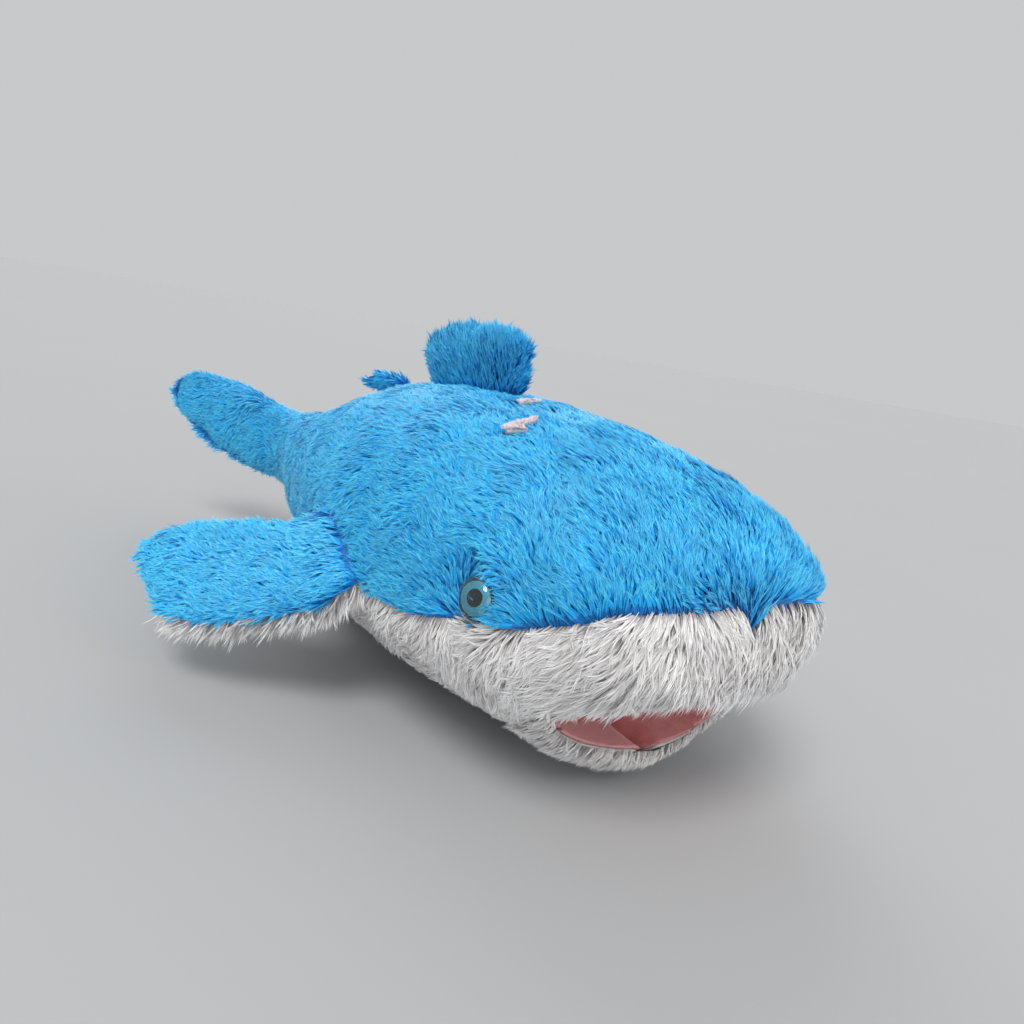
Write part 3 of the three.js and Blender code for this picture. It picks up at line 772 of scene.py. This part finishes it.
lining = copy_of(LINER, "lining")
boolean(lining, HOLLOW, "DIFFERENCE")
lining_lower = copy_of(lining, "mouth_floor")
boolean(lining_lower, JAW, "INTERSECT")
boolean(lining_lower, CHIN_TRIM, "INTERSECT")
lining_upper = copy_of(lining, "mouth_roof")
boolean(lining_upper, JAW_ROOM, "DIFFERENCE")
boolean(lining_upper, TRIM, "INTERSECT")
for piece, cloth in ((lining_lower, PINK), (lining_upper, PINK), (jaw_skin, SKIN_WHITE)):
    piece.data.materials.clear()
    piece.data.materials.append(cloth)
    piece.data.polygons.foreach_set("material_index", np.zeros(len(piece.data.polygons), np.int32))
for tool in (CUT, LINER, HOLLOW, JAW, JAW_ROOM, TRIM, CHIN_TRIM, WHOLE, lining):
    remove(tool)



def tail_fin_skin():
    """The tail fin's skin, open where it goes on from the tail and closed at its tip."""
    above, below = 40, 32
    count = above + below
    rings = []
    for s in np.linspace(TAIL_END, LENGTH, 40):
        inset = BACKING * (1 - 0.35 * (s - TAIL_END) / (LENGTH - TAIL_END))
        rings.append(body_at(np.full(count, s), skin_angles(s, above, below), inset))
    verts = np.vstack(rings + [rings[-1].mean(0, keepdims=True)])
    faces = grid_faces(len(rings), count)
    last = (len(rings) - 1) * count
    faces += [(last + (j + 1) % count, len(verts) - 1, last + j) for j in range(count)]
    made = new_mesh("tail_fin_skin", verts, faces, [SKIN_BLUE])
    make_outward(made)
    return made


caudal_skin = tail_fin_skin()

# ---------------------------------------------------------------- sewn-on fins
def fin_matrix(fin, side=1):
    """The fin's own frame: u out from its hinge, v towards the tail, w through it."""
    up = fin["up"] if side > 0 else 180 - fin["up"]
    turn = Matrix.Rotation(math.radians(fin["pitch"]), 3, "X") @ Matrix.Rotation(-math.radians(up), 3, "Y")
    x = side * fin["x"] if "x" in fin else float(spine_x(np.array(fin["s"])))
    return np.array(turn), np.array([x, y_at(fin["s"]), fin["z"]])


def fin_at(fin, share, angle, inset):
    """Points of a fin in its own frame. Share is 1 at the tip, 0 at the hinge and -1 below it."""
    outline = MOUND if fin is DORSAL else OUTLINE
    reach, half = (np.interp(share, outline[:, 0], outline[:, i]) for i in (2, 1))
    u = share * np.where(share > 0, fin["length"] - inset, fin["thick"] + fin["rooted"])
    sine = np.sin(angle)
    w = np.maximum(fin["thick"] * half - inset, 0.35) * np.sign(sine) * np.abs(sine) ** 0.85
    v = np.maximum(fin["chord"] * reach - inset, 0.5) * np.cos(angle)
    lean = fin["sweep"] * np.clip(u, 0, None) / fin["length"]
    return np.stack([u, lean + v, w], -1)


OUTLINE = smooth_rows(OUTLINE_ROWS, 10)
MOUND = smooth_rows(MOUND_ROWS, 10)


def fin_skin(name, fin, side, inset, materials):
    """The backing of a fin, its two faces in two materials."""
    shares = np.concatenate([np.linspace(-1, 0, 5), np.linspace(0.05, 0.85, 16), np.linspace(0.88, 1, 8)])
    count = 40
    angle = np.linspace(0, 2 * math.pi, count, endpoint=False)
    rings = [fin_at(fin, np.full(count, t), angle, inset) for t in shares]
    local, faces, index = closed_tube(rings, count // 2)
    turn, at = fin_matrix(fin, side)
    made = new_mesh(name, local @ turn.T + at, faces, materials, index)
    make_outward(made)
    return made


def fin_roots(fin, side, upper, density, length, lift, sweep, shrink, inset):
    """Roots on one face of a fin: upper is the face on the +w side in the fin's own frame.

    Shrink keeps them back from the tip, so that the pile there ends where the fin does."""
    turn, at = fin_matrix(fin, side)
    below = fin["thick"] + fin["rooted"]
    tries = int((fin["length"] + below) * fin["chord"] * 2.8 * density)
    u = rng.uniform(-below, fin["length"], tries)
    share = np.where(u > 0, u / fin["length"], u / below)
    angle = rng.uniform(0, math.pi, tries) * (1 if upper else -1)
    # Keep points in proportion to the area that they stand for.
    area = (np.abs(np.sin(angle)) * 0.75 + 0.25) * np.interp(share, OUTLINE[:, 0], OUTLINE[:, 2] / 1.05)
    keep = rng.uniform(0, 1, tries) < area
    share, angle = share[keep] * (1 - shrink / fin["length"] * (share[keep] > 0)), angle[keep]
    p = fin_at(fin, share, angle, inset)
    nearer = fin_at(fin, share - 0.01, angle, inset)
    along = fin_at(fin, np.minimum(share + 0.01, 1), angle, inset) - nearer
    round_ = fin_at(fin, share, angle + 0.03, inset) - fin_at(fin, share, angle - 0.03, inset)
    out = unit(np.cross(round_, along))
    out *= np.sign(np.sum(out * (p * [0, 0, 1] + [[0, 0, 1e-6]]), -1, keepdims=True))
    rearwards = tangent(np.broadcast_to([0.0, 1.0, 0.0], p.shape), out)
    fan = (p[:, 1] / fin["chord"] * 0.8 if fin is DORSAL else 0 * p[:, 1]) + sweep
    flow = tangent(unit(along) * 0.9 + rearwards * fan[:, None], out)
    place = p @ turn.T + at
    flow = turned(flow, out, 0.35 * waves(place, 31, 16) + rng.normal(0, 0.2, len(p)))
    n = len(p)
    out, flow = out @ turn.T, flow @ turn.T
    length = np.full(n, length) * (1 + 0.15 * waves(place, 33, 9))
    return place + out * BACKING, out, flow, length, np.full(n, lift), np.full(n, 0.4 * lift)


def flex(piece, fin, side, parent, child):
    """Bakes the piece's transform into its mesh."""
    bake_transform(piece)


FINS = {
    "pectoral_right": (PECTORAL, -1, "body", "pectoral_right"),
    "pectoral_left": (PECTORAL, 1, "body", "pectoral_left"),
    "dorsal": (DORSAL, 1, "body", "dorsal_fin"),
    "second_dorsal": (SECOND_DORSAL, 1, "tail", "second_dorsal_fin"),
}

# ---------------------------------------------------------------- eyes
def lathe(name, profile, at, out, materials, segments=56):
    """Turns a profile of (radius, height) about the direction out."""
    turn = np.array(Vector((0, 0, 1)).rotation_difference(Vector(out)).to_matrix())
    angle = np.linspace(0, 2 * math.pi, segments, endpoint=False)
    circle = np.stack([np.cos(angle), np.sin(angle), 0 * angle], -1)
    verts = np.vstack([circle * r + [0, 0, z] for r, z in profile]) @ turn.T + at
    made = new_mesh(name, verts, grid_faces(len(profile), segments), materials)
    make_outward(made)
    return made


def add_eye(name, at, out):
    """A black plate with a painted iris and pupil, under a thin clear dome."""
    low = -3.4  # how deep the plate's back lies under the pile's envelope
    ball = [(0.01, low - 12), (2, low - 12), (2, low), (6.9, low), (6.9, low + 1.2)]
    for t in np.linspace(0.02, math.pi / 2 - 0.01, 60):
        ball.append((6.7 * math.cos(t), low + 1.3 + 3.9 * math.sin(t)))
    eyeball = lathe(f"{name}_ball", ball, at, out, [RING_BLACK, IRIS, PUPIL], 120)
    # The painted iris and pupil look a little forwards.
    ahead = tangent(np.array([0.0, -1.0, 0.7]), out)
    iris, iris_radius = ahead * 1.3, 5.0
    pupil, pupil_radius = ahead * 2.0, 2.6
    for face in eyeball.data.polygons:
        spot = np.array(face.center) / MM - at
        rise = spot @ out
        flat = spot - out * rise
        if rise > low + 1.4 and np.linalg.norm(flat - pupil) < pupil_radius:
            face.material_index = 2
        elif rise > low + 1.4 and np.linalg.norm(flat - iris) < iris_radius:
            face.material_index = 1
    rim = low + 1.35
    inner, outer = 6.78, 7.0
    turns = np.linspace(0.03, math.pi / 2 - 0.01, 18)
    dome = [(inner, rim), (outer, rim)]
    dome += [(outer * math.cos(t), rim + 0.1 + 4.2 * math.sin(t)) for t in turns]
    dome += [(inner * math.cos(t), rim + 0.1 + 4.0 * math.sin(t)) for t in reversed(turns)]
    dome.append((inner, rim))
    glass = lathe(f"{name}_lens", dome, at, out, [CLEAR])
    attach(eyeball, "body")
    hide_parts(f"{name}_iris")
    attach(glass, "body")
    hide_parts(f"{name}_dome")
    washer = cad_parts[f"{name}_washer"]
    washer.data.materials.clear()
    washer.data.materials.append(WASHER)


for name, (at, out) in EYES.items():
    add_eye(f"eye_{name}", at, out)


# ---------------------------------------------------------------- marks on the back
def on_back(x, s, rise):
    """Points at that height above the body's upper surface."""
    half, top, wide = (np.interp(s, BODY[:, 0], BODY[:, i]) for i in (1, 2, 4))
    c = (np.abs(x) / half) ** (1 / UPPER_FULLNESS)
    z = wide + (top - wide) * np.sqrt(1 - c**2) ** UPPER_FULLNESS
    return np.stack([x, y_at(s), z + rise], -1)


def on_arm(mark, angle, along, across):
    """The x and s of places along and across an arm of a mark."""
    turn = math.radians(angle)
    x = mark["x"] + along * math.cos(turn) - across * math.sin(turn)
    s = mark["s"] + along * math.sin(turn) + across * math.cos(turn)
    return x, s


def add_mark(name, mark):
    """A strip of felt for each arm, narrower towards its end, lying in the pile."""
    plan = []
    for number, (angle, length) in enumerate(mark["arms"]):
        share = np.linspace(0, 1, 9)
        half = mark["width"] / 2 * (1 - 0.8 * share)
        half[[0, -1]] *= 0.5
        # Each section: one edge above and below, the other below and above, then the crown.
        across = np.stack([half, half, -half, -half, 0 * half], -1).ravel()
        along = np.repeat(share * length, 5)
        x, s = on_arm(mark, angle, along, across)
        rise = np.tile([-0.1, -1.5, -1.5, -0.1, 0.2], len(share)) - 0.15 * number
        verts = on_back(x, s, rise)
        faces = grid_faces(len(share), 5)
        faces += [tuple(range(5)), tuple(range(len(verts) - 1, len(verts) - 6, -1))]
        piece = new_mesh(f"{name}_felt_{number + 1}", verts, faces, [FELT])
        make_outward(piece)
        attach(piece, "body")
        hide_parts(name)
        plan.append(np.stack([x, y_at(s)], -1)[4::5])
        tufts = 16 * length
        along, across = rng.uniform(0, length, tufts), rng.uniform(-0.45, 0.45, tufts)
        across *= mark["width"] * (1 - 0.8 * along / length)
        x, s = on_arm(mark, angle, along, across)
        roots = on_back(x, s, np.full(tufts, -0.4))
        upright = unit(np.stack([x / 60, 0 * x, 1 + 0 * x], -1))
        flow = tangent(rng.normal(0, 0.5, (tufts, 3)) + [0, 1, 0], upright)
        even = np.ones(tufts)
        place = (roots + upright * BACKING, upright, flow, 2.2 * even, 0.7 * even, 0.4 * even)
        fuzz = grow(f"{name}_fuzz_{number + 1}", place, MARK_PILE, 4, 0.4, 0.25)
        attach(fuzz, "body")
    return np.vstack(plan)


MARK_PLANS = [add_mark(name, mark) for name, mark in MARKS.items()]


def bend_tail(piece):
    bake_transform(piece)


def bend_caudal(piece):
    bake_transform(piece)


def bend_jaw(piece):
    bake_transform(piece)


bend_tail(blue_skin)
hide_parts("back_panel_right", "back_panel_left", "tail_panel_right", "tail_panel_left")
bend_tail(white_skin)
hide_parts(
    "muzzle_panel", "belly_panel", "tail_underside_panel", "body_stuffing", "tail_stuffing",
)
bend_jaw(jaw_skin)
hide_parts("jaw_panel", "jaw_stuffing")
bend_jaw(lining_lower)
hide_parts("mouth_lining_lower")
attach(lining_upper, "body")
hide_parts("mouth_lining_upper")
bend_caudal(caudal_skin)
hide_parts("caudal_panel_right", "caudal_panel_left", "caudal_wadding")

# length, lift and rearward lean of the pile
FIN_PILE = {
    "pectoral": (7.0, 0.55, 0.35),
    "underside": (10.5, 0.9, -0.9),
    "dorsal": (8.0, 0.55, 0.0),
    "second": (5.5, 0.7, 0.4),
}
FIN_NODES = {
    "pectoral_right": ["pectoral_right_upper_panel", "pectoral_right_lower_panel", "pectoral_right_wadding"],
    "pectoral_left": ["pectoral_left_upper_panel", "pectoral_left_lower_panel", "pectoral_left_wadding"],
    "dorsal": ["dorsal_right_panel", "dorsal_left_panel", "dorsal_wadding"],
    "second_dorsal": ["second_dorsal_right_panel", "second_dorsal_left_panel"],
}
for name, (fin, side, parent, child) in FINS.items():
    tones = [SKIN_BLUE, SKIN_BLUE]
    if name.startswith("pectoral"):
        tones = [SKIN_BLUE, SKIN_WHITE] if side > 0 else [SKIN_WHITE, SKIN_BLUE]
    skin = fin_skin(f"{name}_skin", fin, side, min(3.0, fin["thick"] - 1.2), tones)
    flex(skin, fin, side, parent, child)
    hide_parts(*FIN_NODES[name])


# ---------------------------------------------------------------- growing the pile
def near_mark(p):
    """Whether a tuft would cover a felt mark."""
    covered = np.zeros(len(p), bool)
    for plan in MARK_PLANS:
        for q in plan:
            gap = p[:, :2] - q
            beside = np.abs(gap[:, 0]) < 1.1
            covered |= beside & (gap[:, 1] < 0.9) & (gap[:, 1] > -4.5) & (p[:, 2] > 90)
    return covered


def kept(place, keep):
    return tuple(v[keep] for v in place)


MOST_STRANDS = 38000  # in one piece


def grow_pieces(name, place, tones, strand_count, spread, width, bend):
    """A pile in as many pieces as it needs, cut across the shark's length."""
    order = np.argsort(place[0][:, 1])
    pieces = math.ceil(len(order) * strand_count / MOST_STRANDS)
    for number, chosen in enumerate(np.array_split(order, pieces)):
        made = grow(f"{name}_{number + 1}", kept(place, chosen), tones, strand_count, spread, width)
        bend(made)


def ride_body(piece):
    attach(piece, "body")


OVER = (lambda s: seam_angle(s), lambda s: math.pi - seam_angle(s))
UNDER = (lambda s: math.pi - seam_angle(s), lambda s: 2 * math.pi + seam_angle(s))
ROUND = (lambda s: 0 * s, lambda s: 0 * s + 2 * math.pi)
FRONT_END = 195  # the pile ahead of here is attached to the body

place = body_pile(*scatter_body(0.003, FRONT_END, 0.8, *OVER), False)
place = kept(place, ~near_mark(place[0]))
grow_pieces("blue_pile", place, BLUE, 6, 0.9, 0.33, ride_body)
place = body_pile(*scatter_body(FRONT_END, TAIL_END, 0.7, *OVER), False)
grow_pieces("rear_blue_pile", place, BLUE, 6, 0.9, 0.34, bend_tail)

place = body_pile(*scatter_body(0.003, 75, 0.62, *UNDER), True)
place = kept(place, ~on_chin(place[0]) & ~in_jaw(place[0]))
grow_pieces("muzzle_pile", place, WHITE, 8, 1.15, 0.33, ride_body)
place = body_pile(*scatter_body(75, FRONT_END, 0.32, *UNDER), True)
place = kept(place, ~in_jaw(place[0]))
grow_pieces("belly_pile", place, WHITE, 5, 0.9, 0.48, ride_body)
place = body_pile(*scatter_body(FRONT_END, TAIL_END, 0.5, *UNDER), True)
grow_pieces("rear_white_pile", place, WHITE, 5, 0.8, 0.42, bend_tail)

place = chin_fluff(*scatter_body(8, 68, 1.7, *UNDER))
own = in_jaw(place[0])
grow_pieces("chin_fluff", kept(place, own), WHITE, 5, 0.55, 0.3, bend_jaw)
grow_pieces("cheek_fluff", kept(place, ~own), WHITE, 5, 0.55, 0.3, ride_body)
place = body_pile(*scatter_body(30, JAW_BACK, 0.4, *UNDER), True)
place = kept(place, in_jaw(place[0]) & ~on_chin(place[0]))
grow_pieces("throat_pile", place, WHITE, 5, 0.8, 0.45, bend_jaw)

place = body_pile(*scatter_body(TAIL_END, LENGTH - 0.5, 0.75, *ROUND), False)
grow_pieces("tail_fin_pile", place, BLUE, 6, 0.9, 0.34, bend_caudal)

for name, (fin, side, parent, child) in FINS.items():
    for face in (True, False):
        pale = name.startswith("pectoral") and face == (side < 0)
        length, lift, sweep = FIN_PILE["underside" if pale else name.split("_")[0]]
        shrink = 6.0 if pale else min(3.0, fin["length"] * 0.12)
        inset = min(4.2 if pale else 3.0, fin["thick"] - 1.2)
        place = fin_roots(fin, side, face, 1.1, length, lift, sweep, shrink, inset)
        title = f"{name}_{'white' if pale else 'blue'}_pile_{'upper' if face else 'lower'}"
        own_fin = (fin, side, parent, child)
        grow_pieces(
            title, place, WHITE if pale else BLUE, 5, 0.75, 0.4,
            lambda piece: flex(piece, *own_fin),
        )

# ---------------------------------------------------------------- floor and finish
def add_backdrop():
    """A flat floor, wide enough that it meets the pale sky at eye level."""
    segments = 72
    around = np.linspace(0, 2 * math.pi, segments, endpoint=False)
    radii = [10, 500, 3000, 30000]
    circle = np.stack([np.cos(around), np.sin(around), 0 * around], -1)
    verts = np.vstack([circle * r for r in radii])
    faces = grid_faces(len(radii), segments) + [tuple(range(segments - 1, -1, -1))]
    new_mesh("floor", verts, faces, [FLOOR])


add_backdrop()

bpy.context.view_layer.update()
